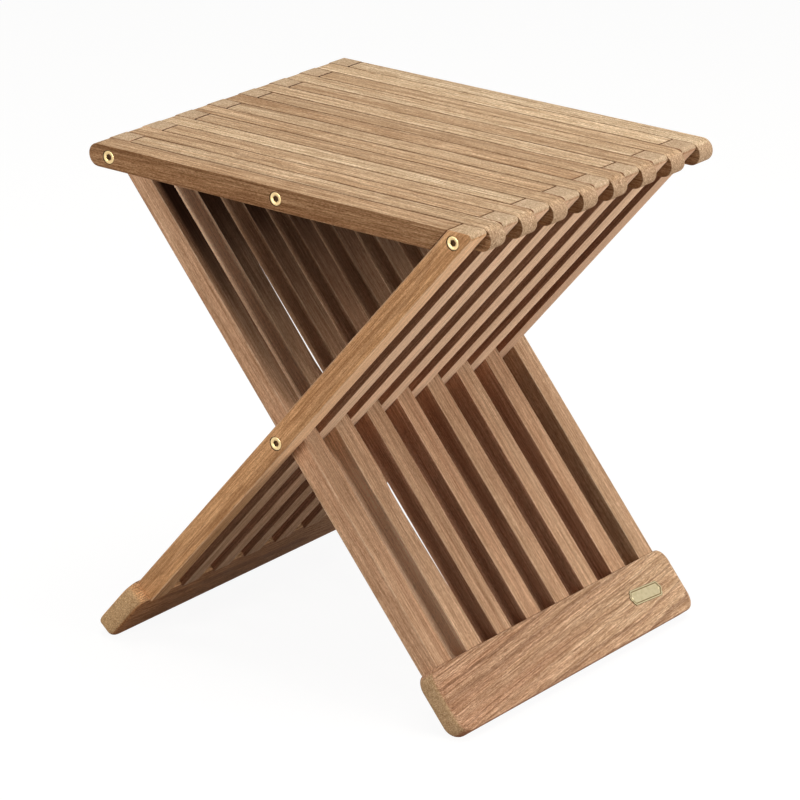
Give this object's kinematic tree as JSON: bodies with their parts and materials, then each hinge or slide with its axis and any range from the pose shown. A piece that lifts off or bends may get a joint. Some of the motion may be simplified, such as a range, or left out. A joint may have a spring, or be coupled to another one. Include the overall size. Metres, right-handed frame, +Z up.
{
  "type": "folding stool",
  "caption": "Folding stool of teak slats: two interleaved leg frames on foot boards cross like scissors under a seat whose two slatted halves fold up in the middle.",
  "frame": {"origin": "centre of the footprint, on the floor", "axes": "+X along the seat from its left end to its right end, +Y across the width from the front to the back, +Z up"},
  "size_m": [0.409, 0.3702, 0.45],
  "materials": {
    "seat_teak": "oiled teak, lightly worn",
    "leg_teak": "oiled teak",
    "foot_teak": "oiled teak with a strong grain",
    "nut_brass": "polished",
    "rod_brass": "drawn"
  },
  "bodies": {
    "left_legs": {"left_leg_slat_1": "leg_teak", "left_leg_slat_2": "leg_teak", "left_leg_slat_3": "leg_teak", "left_leg_slat_4": "leg_teak", "left_leg_slat_5": "leg_teak", "left_leg_slat_6": "leg_teak", "left_leg_slat_7": "leg_teak", "left_leg_slat_8": "leg_teak", "left_foot": "foot_teak", "right_seat_rod": "rod_brass", "cross_rod": "rod_brass", "right_seat_nut_front": "nut_brass", "right_seat_nut_back": "nut_brass", "cross_nut_front": "nut_brass", "cross_nut_back": "nut_brass"},
    "right_legs": {"right_leg_slat_1": "leg_teak", "right_leg_slat_2": "leg_teak", "right_leg_slat_3": "leg_teak", "right_leg_slat_4": "leg_teak", "right_leg_slat_5": "leg_teak", "right_leg_slat_6": "leg_teak", "right_leg_slat_7": "leg_teak", "right_leg_slat_8": "leg_teak", "right_foot": "foot_teak", "left_seat_rod": "rod_brass", "left_seat_nut_front": "nut_brass", "left_seat_nut_back": "nut_brass"},
    "left_seat": {"left_seat_slat_1": "seat_teak", "left_seat_slat_2": "seat_teak", "left_seat_slat_3": "seat_teak", "left_seat_slat_4": "seat_teak", "left_seat_slat_5": "seat_teak", "left_seat_slat_6": "seat_teak", "left_seat_slat_7": "seat_teak", "left_seat_slat_8": "seat_teak", "middle_rod_left_lengths": "rod_brass", "middle_nut_front": "nut_brass"},
    "right_seat": {"right_seat_slat_1": "seat_teak", "right_seat_slat_2": "seat_teak", "right_seat_slat_3": "seat_teak", "right_seat_slat_4": "seat_teak", "right_seat_slat_5": "seat_teak", "right_seat_slat_6": "seat_teak", "right_seat_slat_7": "seat_teak", "right_seat_slat_8": "seat_teak", "middle_rod_right_lengths": "rod_brass", "middle_nut_back": "nut_brass"}
  },
  "joints": [
    {"name": "leg_fold", "type": "hinge", "parent": "left_legs", "child": "right_legs", "pos_m": [0, 0, 0.22425], "axis": [0, 1, 0], "range_deg": [0, 75.5]},
    {"name": "right_seat_fold", "type": "hinge", "parent": "left_legs", "child": "right_seat", "pos_m": [0.1825, 0, 0.43975], "axis": [0, 1, 0], "range_deg": [0, 123.87]},
    {"name": "left_seat_fold", "type": "hinge", "parent": "right_legs", "child": "left_seat", "pos_m": [-0.1825, 0, 0.43975], "axis": [0, 1, 0], "range_deg": [-123.87, 0]}
  ],
  "couplings": [
    {"joint": "right_seat_fold", "follows": "leg_fold", "ratio": 1.6406},
    {"joint": "left_seat_fold", "follows": "leg_fold", "ratio": -1.6406}
  ]
}
